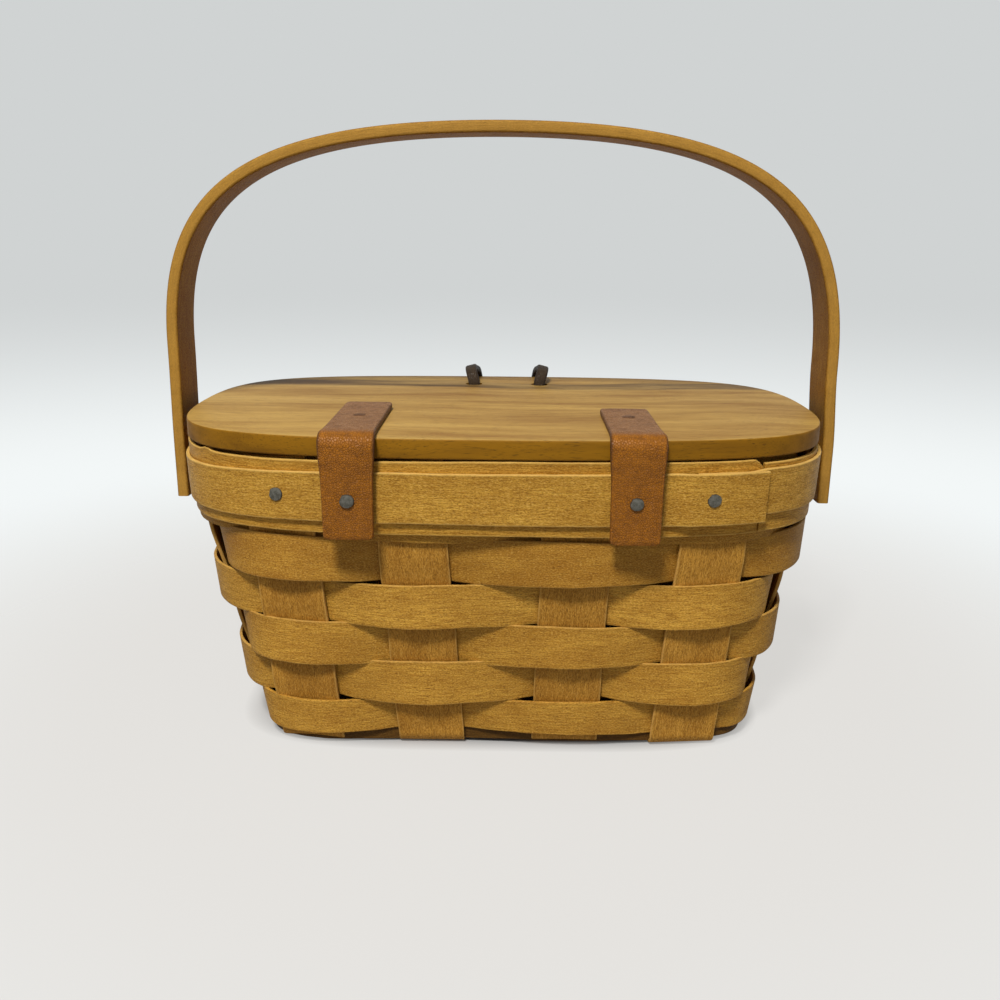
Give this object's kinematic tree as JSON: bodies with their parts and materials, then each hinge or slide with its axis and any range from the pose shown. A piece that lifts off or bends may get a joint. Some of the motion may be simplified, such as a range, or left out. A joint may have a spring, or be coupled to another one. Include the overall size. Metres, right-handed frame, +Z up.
{
  "type": "basket purse",
  "caption": "Small oval purse woven from wood splints over a flat woven base, with a board lid on leather strap hinges, a thong and knob closure and a riveted bentwood swing handle.",
  "frame": {"origin": "bottom centre of the whole purse, on the surface that it stands on", "axes": "+X to the right along the length, seen from the hinged back; +Y from the hinged back to the knob; +Z up"},
  "size_m": [0.229, 0.1384, 0.1972],
  "materials": {
    "splint": "honey stain, satin",
    "board": "clear stain, satin",
    "bentwood": "honey stain, satin",
    "leather": "tan, worn",
    "thong": "dark brown",
    "tack": "dull",
    "rivet": "dark copper"
  },
  "bodies": {
    "basket": {"upright_1": "splint", "upright_2": "splint", "upright_3": "splint", "upright_4": "splint", "end_upright_1": "splint", "end_upright_2": "splint", "weaver_0": "splint", "weaver_1": "splint", "weaver_2": "splint", "weaver_3": "splint", "weaver_4": "splint", "weaver_5": "splint", "inner_band": "splint", "under_band": "splint", "outer_band": "splint", "band_tack_back_left": "tack", "band_tack_back_right": "tack", "band_tack_front_left": "tack", "band_tack_front_right": "tack", "strap_tack_rim_left": "tack", "strap_tack_rim_right": "tack", "strap_tail_left": "leather", "strap_tail_right": "leather", "spacer_left": "rivet", "spacer_right": "rivet", "closure_knob": "bentwood", "knob_screw": "tack", "rivet_left": "rivet", "rivet_right": "rivet", "burr_left": "rivet", "burr_right": "rivet"},
    "lid": {"lid_board": "board", "strap_wrap_left": "leather", "strap_wrap_right": "leather", "strap_tack_lid_left": "tack", "strap_tack_lid_right": "tack", "closure_thong": "thong"},
    "handle": {"handle_hoop": "bentwood"}
  },
  "joints": [
    {"name": "lid_hinge", "type": "hinge", "parent": "basket", "child": "lid", "pos_m": [0, -0.06706, 0.0998], "axis": [1, 0, 0], "range_deg": [0, 34], "deforming": ["closure_thong"]},
    {"name": "handle_swing", "type": "hinge", "parent": "basket", "child": "handle", "pos_m": [0, -0.00353, 0.08815], "axis": [1, 0, 0], "range_deg": [-120, 120]}
  ]
}
